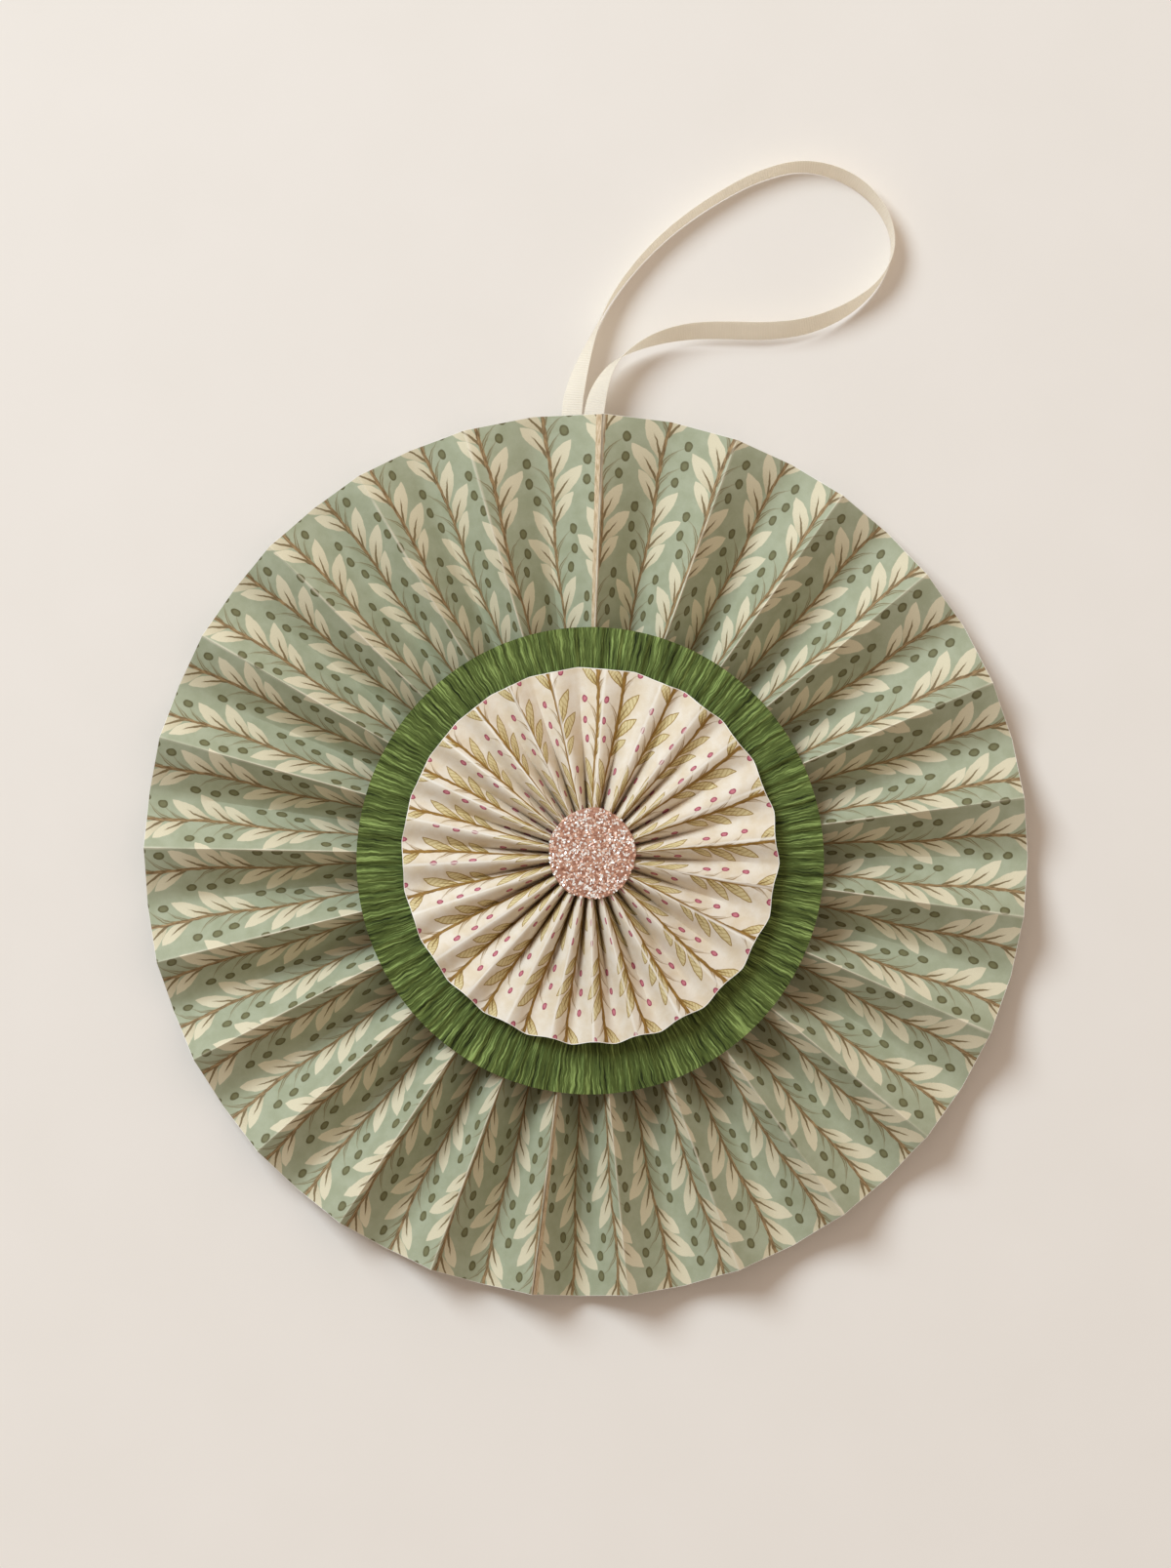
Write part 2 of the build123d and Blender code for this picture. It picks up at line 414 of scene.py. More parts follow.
# A sprig has its leaves on one side of the stem and its berries on the other; the next one out is its mirror.
# Leaves: height of the base on the stem, angle from the stem, length and width.
# Berries: distance from the stem and height.
outer_trail = {
    "period": 17.16,
    "half_repeat": 19.75,
    "stem_at": 0.4,
    "base_at": 84.2,
    "sway": 0.5,
    "stem_width": 0.95,
    "leaves": [(11.0, 26, 14.2, 4.7), (5.4, 42, 14.2, 5.1), (-1.0, 34, 11.6, 4.0)],
    "berries": [(4.8, 6.4), (6.4, 11.6), (6.2, 17.4)],
    "berry": (1.2, 1.55),
    "stalk": 7.0,
    "stalk_width": 0.42,
    "vein_width": 1.0,
}
inner_trail = {
    "period": 14.73,
    "half_repeat": 20.0,
    "stem_at": 5.7,
    "base_at": 28.6,
    "sway": 0.4,
    "stem_width": 1.05,
    "leaves": [(8.6, 24, 12.4, 3.5), (4.6, 38, 10.8, 3.5), (0.0, 38, 8.2, 2.9)],
    "berries": [(3.8, 5.0), (4.6, 10.4), (4.4, 16.4)],
    "berry": (0.82, 1.08),
    "stalk": 6.0,
    "stalk_width": 0.5,
    "vein_width": 0.6,
}


class Trail:
    """Shapes of a printed trail, each repeated over the flat paper."""

    def __init__(self, wiring, spec, across, out):
        self.w = wiring
        self.spec = spec
        self.across = wiring.math("SUBTRACT", across, spec["stem_at"])
        self.out = wiring.math("SUBTRACT", out, spec["base_at"])

    def around(self, x, y):
        """Place on the paper as seen from the nearest copy of a shape at x and y."""
        w, half, period = self.w, self.spec["half_repeat"], self.spec["period"]
        count = w.math("DIVIDE", w.math("SUBTRACT", self.out, y), half)
        nearest = w.math("ROUND", count)
        up = w.math("MULTIPLY", w.math("SUBTRACT", count, nearest), half)
        odd = w.math("FLOORED_MODULO", nearest, 2.0)
        mirror = w.math("MULTIPLY_ADD", odd, -2.0, 1.0)
        side = w.math("MULTIPLY_ADD", self.across, mirror, -x)
        return w.math("WRAP", side, -period / 2, period / 2), up

    def leaf(self, base, angle, length, width):
        """Distance in from the leaf's edge, place along it from 0 to 1 and place across it.

        The distance and the place across are in half widths.
        """
        w = self.w
        s, c = sin(radians(angle)), cos(radians(angle))
        side, up = self.around(s * length / 2, base + c * length / 2)
        along = w.math("MULTIPLY_ADD", side, s / length, w.math("MULTIPLY_ADD", up, c / length, 0.5))
        over = w.math("MULTIPLY_ADD", side, 2 * c / width, w.math("MULTIPLY", up, -2 * s / width))
        base_side = w.math("MAXIMUM", along, 0.0)
        tip_side = w.math("MAXIMUM", w.math("SUBTRACT", 1.0, along), 0.0)
        bow = w.math("MULTIPLY", base_side, tip_side)
        over = w.math("MULTIPLY_ADD", bow, 0.9, w.math("SUBTRACT", over, 0.12))
        room = w.math("MULTIPLY", w.math("POWER", base_side, 1.1), w.math("POWER", tip_side, 0.9))
        off = w.math("MULTIPLY", w.math("ABSOLUTE", over), -1.0)
        return w.math("MULTIPLY_ADD", room, 3.95, off), along, over

    def berry(self, x, y):
        """Distance from a berry's middle, 1 at its edge."""
        w = self.w
        wide, tall = self.spec["berry"]
        side, up = self.around(-x, y)
        side = w.math("DIVIDE", side, wide)
        up = w.math("DIVIDE", up, tall)
        return w.math("SQRT", w.math("MULTIPLY_ADD", side, side, w.math("MULTIPLY", up, up)))

    def stalk(self, x, y):
        """Distance from the middle of a berry's stalk and place along it, 0 at the berry and 1 at the stem.

        The stalk leaves the stem and turns out to the berry.
        """
        w, reach = self.w, self.spec["stalk"]
        side, up = self.around(-x, y)
        share = w.math("DIVIDE", up, -reach)
        left = w.math("MAXIMUM", w.math("SUBTRACT", 1.0, share), 0.0)
        bend = w.math("MULTIPLY_ADD", w.math("POWER", left, 1.8), -x, x)
        off = w.math("ABSOLUTE", w.math("SUBTRACT", side, bend))
        past = w.math("MAXIMUM", w.math("SUBTRACT", share, 1.0), w.math("SUBTRACT", 0.0, share))
        return w.math("MULTIPLY_ADD", w.math("MAXIMUM", past, 0.0), 30.0, off), share

    def stem(self):
        """Distance from the middle of the stem, which sways from sprig to sprig."""
        w, spec = self.w, self.spec
        turn = w.math("SINE", w.math("MULTIPLY", self.out, pi / spec["half_repeat"]))
        side = w.math("MULTIPLY_ADD", turn, -spec["sway"], self.across)
        return w.math("ABSOLUTE", w.math("WRAP", side, -spec["period"] / 2, spec["period"] / 2))


def printed_paper(name, spec, colors, fold_width, hatched, lap):
    """Paper with a printed trail, pale along its ridges, partly from worn, bared core and partly as a painted
    highlight on the folds.

    Leaves are hatched or plain, and where there is a lap it covers so much of the end of each strip.
    """
    w = Wiring(name)
    a, b = w.uv("print")
    wobble_a = w.math("MULTIPLY_ADD", w.noise(a, b, 0.35), 0.9, -0.45)
    wobble_b = w.math("MULTIPLY_ADD", w.noise(b, a, 0.3), 0.9, -0.45)
    across = w.math("ADD", a, wobble_a)
    out = w.math("ADD", b, wobble_b)
    trail = Trail(w, spec, across, out)
    wash = w.noise(a, b, 0.16, 3.0, 0.6)
    grain = w.noise(a, b, 2.6, 3.0, 0.6)
    strand = w.noise(w.math("MULTIPLY", a, 4.0), w.math("MULTIPLY", b, 0.35), 1.0, 3.0, 0.6)
    color = w.mix(w.step(wash, 0.3, 0.7), colors["ground_deep"], colors["ground"])
    for x, y in spec["berries"]:
        for reach, lower in ((x, y), (0.55 * x, y - 2.2)):
            off, share = trail.stalk(reach, lower)
            line = w.step(off, spec["stalk_width"] / 2 + 0.12, spec["stalk_width"] / 2 - 0.12)
            shown = w.math("MULTIPLY_ADD", w.step(share, 0.0, 0.55), 0.6, 0.2)
            color = w.mix(w.math("MULTIPLY", line, shown), color, colors["stalk"])
    for x, y in spec["berries"]:
        reach = trail.berry(x, y)
        color = w.mix(w.step(reach, 1.08, 0.92), color, colors["berry_edge"])
        color = w.mix(w.step(w.math("MULTIPLY_ADD", grain, 0.3, reach), 0.95, 0.6), color, colors["berry"])
    for base, angle, length, width in spec["leaves"]:
        inside, along, over = trail.leaf(base, angle, length, width)
        shade = w.step(w.math("MULTIPLY_ADD", grain, 0.4, along), 0.1, 0.95)
        leaf = w.mix(shade, colors["leaf_deep"], colors["leaf"])
        if hatched:
            lines = w.math("SINE", w.math("MULTIPLY_ADD", along, 52.0, w.math("MULTIPLY", over, 5.0)))
            leaf = w.mix(w.math("MULTIPLY", w.step(lines, 0.1, 0.7), 0.4), leaf, colors["leaf_edge"])
            color = w.mix(w.step(inside, 0.03, 0.12), color, colors["leaf_edge"])
            color = w.mix(w.step(inside, 0.2, 0.32), color, leaf)
        else:
            color = w.mix(w.step(inside, 0.03, 0.12), color, leaf)
        half = spec["vein_width"] / 2
        taper = w.math("MULTIPLY_ADD", along, -1.2 * half, half)
        vein = w.step(w.math("MULTIPLY_ADD", w.math("ABSOLUTE", over), -width / 2, taper), -0.06, 0.06)
        ends = w.math("MULTIPLY", w.step(along, -0.04, 0.03), w.step(along, 0.68, 0.5))
        held = w.math("MULTIPLY", vein, ends)
        color = w.mix(w.math("MULTIPLY", held, 0.9), color, colors["vein"])
    off = trail.stem()
    half = spec["stem_width"] / 2
    stem = w.mix(w.step(strand, 0.35, 0.65), colors["stem_deep"], colors["stem"])
    color = w.mix(w.step(off, half + 0.12, half - 0.08), color, stem)
    if lap:
        to_end = w.math("SUBTRACT", panels // len(outer_shifts) * fold_width, a)
        laid = w.mix(w.step(strand, 0.3, 0.7), colors["stem"], colors["lap"])
        laid = w.mix(w.step(to_end, 0.55, 0.35), laid, colors["stem_deep"])
        color = w.mix(w.step(to_end, lap + 0.1, lap - 0.1), color, laid)
    # Pale line along each ridge: partly worn, bared paper core and partly a painted highlight on the fold,
    # stronger towards the hub.
    ridge_wear_and_highlight = w.math("ABSOLUTE", w.math("WRAP", a, -fold_width, fold_width))
    ridge_wear_and_highlight = w.math("MULTIPLY_ADD", strand, 0.4, w.math("SUBTRACT", ridge_wear_and_highlight, 0.2))
    wear_and_highlight_strength = w.math("MULTIPLY_ADD", w.step(w.noise(a, b, 0.06), 0.4, 0.62), 0.35, 0.15)
    wear_and_highlight_strength = w.math("MULTIPLY_ADD", w.step(b, 104.0, 70.0), 0.4, wear_and_highlight_strength)
    color = w.mix(w.math("MULTIPLY", w.step(ridge_wear_and_highlight, 0.8, 0.0), wear_and_highlight_strength), color, colors["core_and_highlight"])
    tone = w.math("MULTIPLY_ADD", grain, 0.16, 0.92)
    color = w.node("ShaderNodeVectorMath", {0: color, 3: tone}, operation="SCALE").outputs[0]
    fibre = w.noise(a, b, 5.0, 4.0, 0.65)
    w.bump(fibre, 0.25, 0.08)
    return w.finish(color, w.math("MULTIPLY_ADD", grain, 0.16, 0.62), Specular_IOR_Level=0.3)


def plain_paper(name, light, deep):
    """Unprinted paper, card or a cut edge: two tones of fibre."""
    w = Wiring(name)
    place = w.node("ShaderNodeTexCoord").outputs["Object"]
    fibre = w.node("ShaderNodeTexNoise", {"Vector": place, "Scale": 900.0, "Detail": 4.0}).outputs["Fac"]
    cloud = w.node("ShaderNodeTexNoise", {"Vector": place, "Scale": 60.0, "Detail": 2.0}).outputs["Fac"]
    tone = w.math("MULTIPLY_ADD", fibre, 0.6, w.math("MULTIPLY", cloud, 0.4))
    color = w.mix(w.step(tone, 0.3, 0.7), deep, light)
    w.bump(fibre, 0.3, 0.1)
    return w.finish(color, 0.8, Specular_IOR_Level=0.25)


paper_back = plain_paper("paper_back", linear(232, 226, 212), linear(222, 214, 198))
paper_edge = plain_paper("paper_edge", linear(246, 242, 234), linear(232, 226, 214))

sage_print = printed_paper(
    "sage_printed_paper",
    outer_trail,
    {
        "ground": linear(166, 170, 144),
        "ground_deep": linear(155, 159, 131),
        "leaf": linear(212, 202, 173),
        "leaf_deep": linear(188, 175, 143),
        "vein": linear(108, 88, 52),
        "stem": linear(164, 136, 96),
        "stem_deep": linear(100, 78, 48),
        "stalk": linear(116, 98, 60),
        "berry": linear(114, 112, 78),
        "berry_edge": linear(96, 92, 60),
        "lap": linear(222, 202, 172),
        "core_and_highlight": linear(232, 222, 200),
    # Paper core, also the colour of the painted highlight along the ridges
    },
    panel_width(outer_radius, outer_rim_fold),
    hatched=False,
    lap=outer_lap,
)
cream_print = printed_paper(
    "cream_printed_paper",
    inner_trail,
    {
        "ground": linear(225, 215, 199),
        "ground_deep": linear(215, 199, 173),
        "leaf": linear(211, 195, 148),
        "leaf_deep": linear(182, 157, 95),
        "leaf_edge": linear(152, 122, 60),
        "vein": linear(124, 94, 40),
        "stem": linear(158, 120, 54),
        "stem_deep": linear(112, 80, 30),
        "stalk": linear(138, 104, 48),
        "berry": linear(192, 116, 126),
        "berry_edge": linear(150, 62, 82),
        # Paper core, also the colour of the painted highlight along the ridges
        "core_and_highlight": linear(240, 234, 222),
    },
    panel_width(inner_radius, inner_rim_fold),
    hatched=True,
    lap=0,
)

# The cut bares a thread of white core along each rim
outer_bare = 0.08
inner_bare = 0.2

# The glitter disc reaches this far from the inner fan's middle
inner_held_radius = 14.0

# Height and bearing of the side that springs up
outer_spring = (1.6, 138)
inner_spring = (2.8, 140)

# How far the ridges end short of the valleys at the rim
outer_wave = 0.3
inner_wave = 1.1


def outer_sag(radius):
    """Shares of the crowding by which back folds sink and, past the crepe, front folds rise on the outer fan."""
    past_crepe = max(0, radius - crepe_radius) / (outer_radius - crepe_radius)
    return 0.85 * outer_loose(radius), 0.55 * past_crepe


def inner_sag(radius):
    """The same for the inner fan: its back folds lie on the crepe and the glitter disc holds its hub down."""
    return 0.0, 1.4 * max(0, radius - inner_held_radius) / (inner_radius - inner_held_radius)


outer_rows = np.append(np.linspace(outer_hub_radius, outer_radius - outer_bare, 40), outer_radius)
outer_fan = folded_fan(
    "printed_outer_fan",
    center=(0, 0),
    ridges=outer_ridges,
    radii=outer_rows,
    back=outer_back,
    rim_fold=outer_rim_fold,
    paper=outer_paper,
    fold=crisp_fold,
    shifts=outer_shifts,
    materials=[sage_print, paper_back, paper_edge],
    sag=outer_sag,
    spring=outer_spring,
    wave=outer_wave,
)
stand_for(outer_fan, "outer_fan")

inner_rows = np.append(np.linspace(inner_hub_radius, inner_radius - inner_bare, 27), inner_radius)
inner_fan = folded_fan(
    "printed_inner_fan",
    center=inner_center,
    ridges=inner_ridges,
    radii=inner_rows,
    back=inner_back,
    rim_fold=inner_rim_fold,
    paper=inner_paper,
    fold=round_fold,
    shifts=[0.0],
    materials=[cream_print, paper_back, paper_edge],
    sag=inner_sag,
    spring=inner_spring,
    wave=inner_wave,
)
stand_for(inner_fan, "inner_fan")


# Crepe ruffle

def crepe_paper_material():
    """Stretched crepe: fine uneven crinkles that run outward, with painted highlight on their crests and painted
    shade between them.
    """
    w = Wiring("green_crepe")
    a, b = w.uv("ring")
    sway = w.noise(w.math("MULTIPLY", a, 0.12), w.math("MULTIPLY", b, 0.22), 1.0)
    waver = w.math("MULTIPLY_ADD", sway, 1.6, a)
    crepe_crinkles = w.noise(w.math("MULTIPLY", waver, 1.5), w.math("MULTIPLY", b, 0.07), 1.0, 4.0, 0.7)
    broad = w.noise(w.math("MULTIPLY", a, 0.3), w.math("MULTIPLY", b, 0.02), 1.0, 2.0)
    tone = w.math("MULTIPLY_ADD", crepe_crinkles, 0.8, w.math("MULTIPLY", broad, 0.2))
    # Painted shade: the near-black streaks between the crinkles; painted highlight: the pale streaks on their
    # crests.
    color = w.mix(w.step(tone, 0.36, 0.5), linear(26, 34, 8), linear(84, 98, 46))
    color = w.mix(w.step(tone, 0.5, 0.64), color, linear(150, 171, 98))
    w.bump(crepe_crinkles, 0.6, 0.5)
    return w.finish(color, 0.85, Specular_IOR_Level=0.2)


def crepe_ring(name, columns, radii):
    """A gathered ring: uneven crinkles that run outward, with a crisp cut edge."""
    turn = np.linspace(0, 2 * pi, columns, endpoint=False)
    phases = seed.uniform(0, 2 * pi, (len(crepe_waves), 2))
    rough = seed.normal(0, 0.06, columns)
    rows = len(radii)
    tops, unders = [], []
    for radius in radii:
        drift = 0.02 * (radius - radii[0])
        crinkle = 0.5 + rough
        for (count, size), (start, pace) in zip(crepe_waves, phases):
            crinkle = crinkle + size * np.sin(count * turn + start + drift * sin(pace))
        low = outer_front(radius) + seat_gap
        height = low + crepe_paper + crepe_gather_depth * np.clip(crinkle, 0, 1)
        plan = np.column_stack(
            [crepe_center[0] + radius * np.sin(turn), crepe_center[1] + radius * np.cos(turn)]
        )
        tops.append(np.column_stack([plan, height]))
        unders.append(np.column_stack([plan, height - crepe_paper]))
    points = np.concatenate(tops + unders)
    quads, rings, bakes = [], [], []
    map_rows = 4
    per_row = columns // map_rows

    def corner(side, row, column):
        return side * rows * columns + row * columns + column % columns

    def patch(column, low, high, floor, room):
        """Place of a quad on the baked map: quarter rings in rows."""
        row, step = divmod(column, per_row)
        u0, u1 = (0.01 + 0.98 * s / per_row for s in (step, step + 1))
        v0, v1 = (floor + room * (row + 0.03 + 0.94 * s) / map_rows for s in (low, high))
        return [(u0, v0), (u1, v0), (u1, v1), (u0, v1)]

    for column in range(columns):
        a0, a1 = (crepe_radius * 2 * pi * s / columns for s in (column, column + 1))
        for row in range(rows - 1):
            flat = [(a0, radii[row]), (a1, radii[row]), (a1, radii[row + 1]), (a0, radii[row + 1])]
            top = [corner(0, row, column), corner(0, row, column + 1)]
            top += [corner(0, row + 1, column + 1), corner(0, row + 1, column)]
            v0, v1 = row / (rows - 1), (row + 1) / (rows - 1)
            quads += [top, [c + rows * columns for c in reversed(top)]]
            rings += [flat, flat[::-1]]
            bakes += [patch(column, v0, v1, 0.2, 0.8), patch(column, v0, v1, 0.03, 0.16)[::-1]]
        for row, order in ((rows - 1, 1), (0, -1)):
            edge = [corner(1, row, column), corner(0, row, column)]
            edge += [corner(0, row, column + 1), corner(1, row, column + 1)]
            quads.append(edge[::order])
            rings.append([(a0, radii[row]), (a0, radii[row]), (a1, radii[row]), (a1, radii[row])][::order])
            u0, u1 = column / columns, (column + 1) / columns
            v0 = 0.0 if row == 0 else 0.015
            bakes.append([(u0, v0), (u0, v0 + 0.01), (u1, v0 + 0.01), (u1, v0)][::order])
    uv_maps = {"ring": rings, "OFBake": bakes}
    return quad_object(name, points, quads, uv_maps, [0] * len(quads), [crepe_paper_material()], sharp_angle=60)


crepe_rows = np.append(crepe_hub_radius, np.linspace(crepe_seen_radius, crepe_radius, 9))
crepe = crepe_ring("crepe_ring", crepe_columns, crepe_rows)
stand_for(crepe, "crepe_ruffle")


# Glitter disc

glitter_low, glitter_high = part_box("glitter_disc")
glitter_center = ((glitter_low + glitter_high) / 2) / mm
glitter_half = ((glitter_high - glitter_low) / 2) / mm
glitter_base = linear(180, 130, 108)

# Flakes: their colours with the share of each, and their size, thickness, lean and height over the card
# The near-white tone, on about a third of the flakes, is a painted glint: flakes drawn as if they caught the
# lamp.
flake_tones_and_glints = [linear(218, 170, 144), linear(166, 112, 88), linear(240, 206, 186), linear(255, 252, 246)]
flake_shares = [0.32, 0.24, 0.12, 0.32]
flake_size = (0.24, 0.44)
flake_thickness = 0.06
flake_lean = (0, 28)
flake_height = (-0.02, 0.12)
flake_count = 1900
flake_sides = 6


def glitter_material():
    """Flakes of rose gold: each has the colour that its points carry, and the near-white ones carry a painted
    glint.
    """
    w = Wiring("rose_gold_glitter")
    tint = w.node("ShaderNodeVertexColor", layer_name="flake").outputs["Color"]
    return w.finish(tint, 0.32, Metallic=0.25, Specular_IOR_Level=0.7)


def glitter_disc(name, flakes):
    """A hand-cut disc of card with flakes strewn over its front."""
    around = 96
    turn = np.linspace(0, 2 * pi, around, endpoint=False)
    outline = np.column_stack([np.sin(turn), np.cos(turn)])
    trim = 1 + 0.012 * np.sin(5 * turn + 1) + 0.008 * np.sin(9 * turn)
    points, quads = [], []
    rings = [(0.0, 1), (0.35, 1), (0.7, 1), (0.97, 1), (1.0, 0.6), (1.0, -1), (0.0, -1)]
    for share, level in rings:
        plan = outline * (share * trim)[:, None] * glitter_half[0:2]
        height = np.full((around, 1), glitter_center[2] + level * glitter_half[2])
        points.append(np.column_stack([plan + np.array(glitter_center[0:2]), height]))
    points = np.concatenate(points)
    for ring in range(len(rings) - 1):
        for k in range(around):
            after = (k + 1) % around
            inner, outer = ring * around, (ring + 1) * around
            quads.append([outer + k, inner + k, inner + after, outer + after])
    colors = [glitter_base] * len(points)
    points = points.tolist()
    for flake in range(flakes):
        share = sqrt(seed.uniform(0, 0.985))
        bearing = seed.uniform(0, 2 * pi)
        size = seed.uniform(*flake_size)
        middle = np.array([
            glitter_center[0] + glitter_half[0] * share * sin(bearing),
            glitter_center[1] + glitter_half[1] * share * cos(bearing),
            glitter_center[2] + glitter_half[2] + seed.uniform(*flake_height),
        ])
        lean, way, twist = radians(seed.uniform(*flake_lean)), seed.uniform(0, 2 * pi), seed.uniform(0, pi)
        normal = np.array([sin(lean) * cos(way), sin(lean) * sin(way), cos(lean)])
        side = np.cross(normal, [cos(twist), sin(twist), 0.3])
        side = side / np.linalg.norm(side)
        up = np.cross(normal, side)
        first = len(points)
        for level in (flake_thickness / 2, -flake_thickness / 2):
            for corner in range(flake_sides):
                turned = corner * 2 * pi / flake_sides
                spot = side * cos(turned) + up * sin(turned)
                points.append((middle + size * spot + level * normal).tolist())
        tone = flake_tones_and_glints[seed.choice(len(flake_tones_and_glints), p=flake_shares)]
        colors += [tone] * (2 * flake_sides)
        under = first + flake_sides
        quads += [[first + c for c in (0, 1, 2, 3)], [first + c for c in (0, 3, 4, 5)]]
        quads += [[under + c for c in (3, 2, 1, 0)], [under + c for c in (5, 4, 3, 0)]]
        for corner in range(flake_sides):
            after = (corner + 1) % flake_sides
            quads.append([first + corner, under + corner, under + after, first + after])
    made = quad_object(name, points, quads, {}, [0] * len(quads), [glitter_material()], sharp_angle=20)
    layer = made.data.color_attributes.new("flake", "FLOAT_COLOR", "POINT")
    layer.data.foreach_set("color", np.asarray(colors, dtype=np.float32).ravel())
    return made


glitter = glitter_disc("glitter_flakes", flake_count)
stand_for(glitter, "glitter_disc")


# Ribbon

def smooth_line(rows):
    """Points along a smooth curve that has the rows as its control points."""
    curve = bpy.data.curves.new("route", "CURVE")
    curve.dimensions = "3D"
    curve.resolution_u = 24
    spline = curve.splines.new("NURBS")
    spline.points.add(len(rows) - 1)
    for point, row in zip(spline.points, rows):
        point.co = (*row, 1.0)
    spline.order_u = 3
    spline.use_endpoint_u = True
    holder = bpy.data.objects.new("route", curve)
    mesh = bpy.data.meshes.new_from_object(holder)
    points = np.array([v.co for v in mesh.vertices])
    bpy.data.objects.remove(holder)
    bpy.data.meshes.remove(mesh)
    return points


def ribbon_material():
    """Cream ribbon with fine cross ribs and a close selvedge."""
    w = Wiring("cream_ribbon")
    along, over = w.uv("weave")
    rib = w.math("SINE", w.math("MULTIPLY", along, 2 * pi / ribbon_rib))
    thread = w.noise(w.math("MULTIPLY", along, 3.0), w.math("MULTIPLY", over, 9.0), 1.0, 3.0)
    tone = w.math("MULTIPLY_ADD", rib, 0.18, thread)
    color = w.mix(w.step(tone, 0.2, 0.75), linear(242, 237, 224), linear(251, 247, 237))
    w.bump(w.math("MULTIPLY_ADD", rib, 0.5, thread), 0.4, 0.14)
    w.let_through(0.5, linear(255, 249, 238))
    return w.finish(color, 0.6, Sheen_Weight=0.2, Sheen_Roughness=0.4, Specular_IOR_Level=0.3)


def ribbon_band(name):
    """A flat ribbon that follows its route and turns from one edge to the other on the way."""
    fine = smooth_line([(x, y, z) for x, y, z, roll in ribbon_route])
    rolls = smooth_line([(roll, 0, 0) for x, y, z, roll in ribbon_route])[:, 0]
    runs = np.linalg.norm(np.diff(fine, axis=0), axis=1)
    reach = np.concatenate([[0], np.cumsum(runs)])
    steps = 4 * round(reach[-1] / ribbon_rib)
    places = np.linspace(0, reach[-1], steps + 1)
    line = np.column_stack([np.interp(places, reach, fine[:, k]) for k in range(3)])
    roll = np.radians(np.interp(places, reach, rolls))[:, None]
    ahead = np.gradient(line, axis=0)
    ahead /= np.linalg.norm(ahead, axis=1)[:, None]
    side = np.cross(ahead, [0, 0, 1])
    side /= np.linalg.norm(side, axis=1)[:, None]
    over = side * np.cos(roll) + np.cross(side, ahead) * np.sin(roll)
    face = np.cross(over, ahead)
    rib = np.cos(2 * pi * places / ribbon_rib)[:, None]
    half = ribbon_width / 2 - ribbon_rib_edge + ribbon_rib_edge * rib
    body = ribbon_thickness / 2 - ribbon_rib_height + ribbon_rib_height * rib
    section = [(place, full * body) for place, full in zip(ribbon_places, ribbon_fullness)]
    loop = [line + over * half * place + face * thick for place, thick in section]
    loop += [line + over * half * place - face * thick for place, thick in reversed(section)]
    count = len(loop)
    points = np.stack(loop, axis=1).reshape(-1, 3)
    girth = np.concatenate([ribbon_places, 2 + ribbon_places]) * ribbon_width / 2
    quads, weaves, bakes = [], [], []
    map_rows = 8
    per_row = -(-steps // map_rows)
    for k in range(steps):
        row, step = divmod(k, per_row)
        u0, u1 = (0.005 + 0.99 * s / per_row for s in (step, step + 1))
        for c in range(count):
            after = (c + 1) % count
            quads.append([k * count + c, k * count + after, (k + 1) * count + after, (k + 1) * count + c])
            end = girth[c + 1] if c + 1 < count else girth[c] + 0.2
            here, there = places[k], places[k + 1]
            weaves.append([(here, girth[c]), (here, end), (there, end), (there, girth[c])])
            v0, v1 = ((row + 0.05 + 0.9 * s / count) / map_rows for s in (c, c + 1))
            bakes.append([(u0, v0), (u0, v1), (u1, v1), (u1, v0)])
    for k, order in ((0, -1), (steps, 1)):
        for c in range(count // 2 - 1):
            ends = [k * count + c, k * count + c + 1, k * count + count - 2 - c, k * count + count - 1 - c]
            quads.append(ends[::order])
            weaves.append([(places[k], girth[c])] * 4)
            u0, u1 = 0.9965, 0.9995
            v0, v1 = (0.001 + 0.0008 * s for s in (c, c + 1))
            bakes.append([(u0, v0), (u0, v1), (u1, v1), (u1, v0)][::order])
    uv_maps = {"weave": weaves, "OFBake": bakes}
    made = quad_object(name, points, quads, uv_maps, [0] * len(quads), [ribbon_material()], sharp_angle=50)
    return made, line


ribbon, ribbon_line = ribbon_band("ribbon_band")
stand_for(ribbon, "ribbon_loop")

# Backing disc: the solid itself, in card
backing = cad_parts["backing_disc"]
backing.data.materials.clear()
backing.data.materials.append(plain_paper("kraft_card", linear(206, 188, 160), linear(190, 170, 140)))


# Table, light and camera

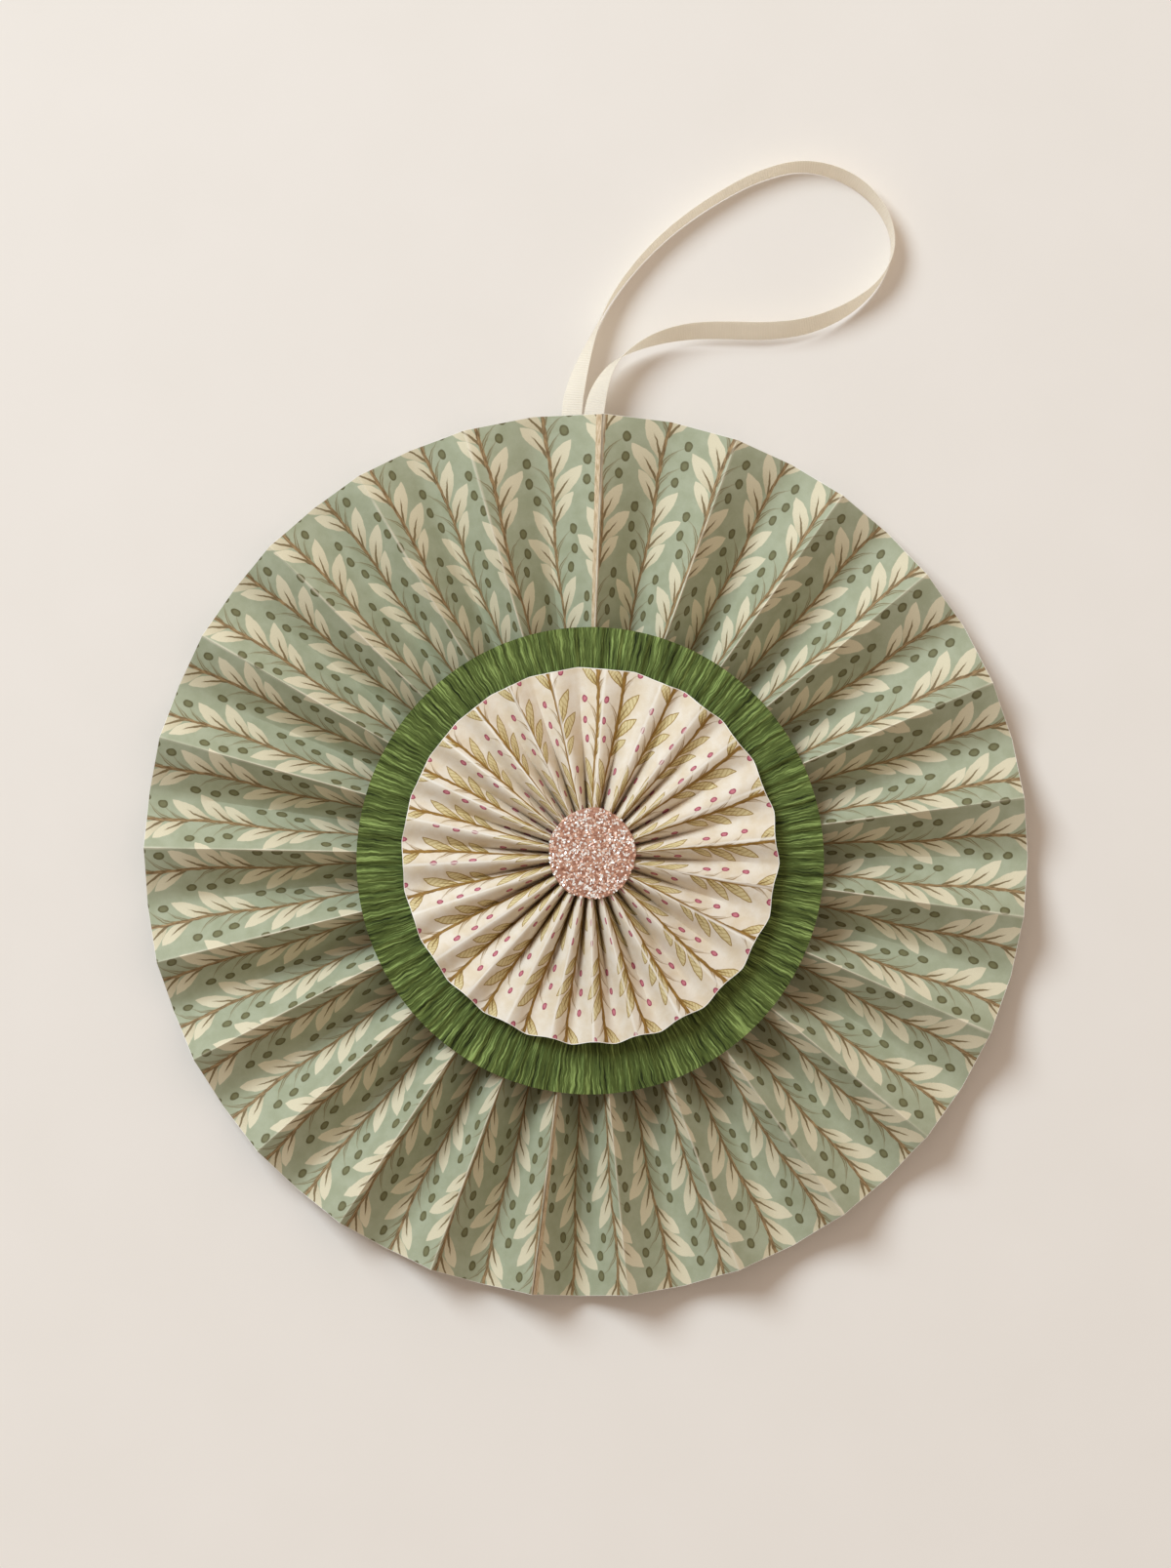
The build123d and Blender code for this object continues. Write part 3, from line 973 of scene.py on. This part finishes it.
def table_top():
    """A pale table, seen all round the medallion."""
    mesh = bpy.data.meshes.new("table_top")
    half = table_half * mm
    corners = [(-half, -half, 0), (half, -half, 0), (half, half, 0), (-half, half, 0)]
    mesh.from_pydata(corners, [], [(0, 1, 2, 3)])
    w = Wiring("pale_table")
    place = w.node("ShaderNodeTexCoord").outputs["Object"]
    cloud = w.node("ShaderNodeTexNoise", {"Vector": place, "Scale": 30.0, "Detail": 3.0}).outputs["Fac"]
    grain = w.node("ShaderNodeTexNoise", {"Vector": place, "Scale": 700.0, "Detail": 2.0}).outputs["Fac"]
    color = w.mix(cloud, linear(232, 225, 216), linear(236, 229, 221))
    w.bump(grain, 0.06, 0.1)
    mesh.materials.append(w.finish(color, 0.75, Specular_IOR_Level=0.2))
    made = bpy.data.objects.new("table_top", mesh)
    bpy.context.scene.collection.objects.link(made)


def key_light():
    """A broad window light from the upper left, near enough to fade across the table."""
    bearing, elevation, distance = radians(window_bearing), radians(window_elevation), window_distance * mm
    lamp = bpy.data.lights.new("window", "AREA")
    lamp.shape = "DISK"
    lamp.size = window_diameter * mm
    lamp.energy = window_strength * pi * distance**2
    lamp.color = window_color
    made = bpy.data.objects.new("window", lamp)
    made.location = (
        distance * sin(bearing) * cos(elevation),
        distance * cos(bearing) * cos(elevation),
        distance * sin(elevation),
    )
    made.rotation_euler = (pi / 2 - elevation, 0, pi - bearing)
    made.visible_camera = False
    bpy.context.scene.collection.objects.link(made)


def ambient_light():
    """Light that the room sends back, warmer than the window's and brighter from the upper right."""
    world = bpy.data.worlds.new("room")
    world.use_nodes = True
    tree = world.node_tree
    background = next(n for n in tree.nodes if n.type == "BACKGROUND")
    background.inputs["Color"].default_value = room_color
    way = tree.nodes.new("ShaderNodeTexCoord")
    toward = tree.nodes.new("ShaderNodeVectorMath")
    toward.operation = "DOT_PRODUCT"
    toward.inputs[1].default_value = room_lean
    level = tree.nodes.new("ShaderNodeMath")
    level.operation = "MULTIPLY_ADD"
    level.inputs[1].default_value = room_strength
    level.inputs[2].default_value = room_strength
    tree.links.new(way.outputs["Generated"], toward.inputs[0])
    tree.links.new(toward.outputs["Value"], level.inputs[0])
    tree.links.new(level.outputs[0], background.inputs["Strength"])
    bpy.context.scene.world = world


def camera():
    """A camera straight above the photograph's middle."""
    lens = bpy.data.cameras.new("camera")
    lens.sensor_width = sensor_width
    lens.lens = sensor_width * image_scale * (camera_height - scale_height) / image_height
    lens.clip_end = 100
    made = bpy.data.objects.new("camera", lens)
    x = (image_width / 2 - fan_pixel[0]) / image_scale
    y = (fan_pixel[1] - image_height / 2) / image_scale
    made.location = (x * mm, y * mm, camera_height * mm)
    bpy.context.scene.collection.objects.link(made)
    bpy.context.scene.camera = made


table_top()
key_light()
ambient_light()
camera()
bpy.context.scene.view_settings.view_transform = "Standard"
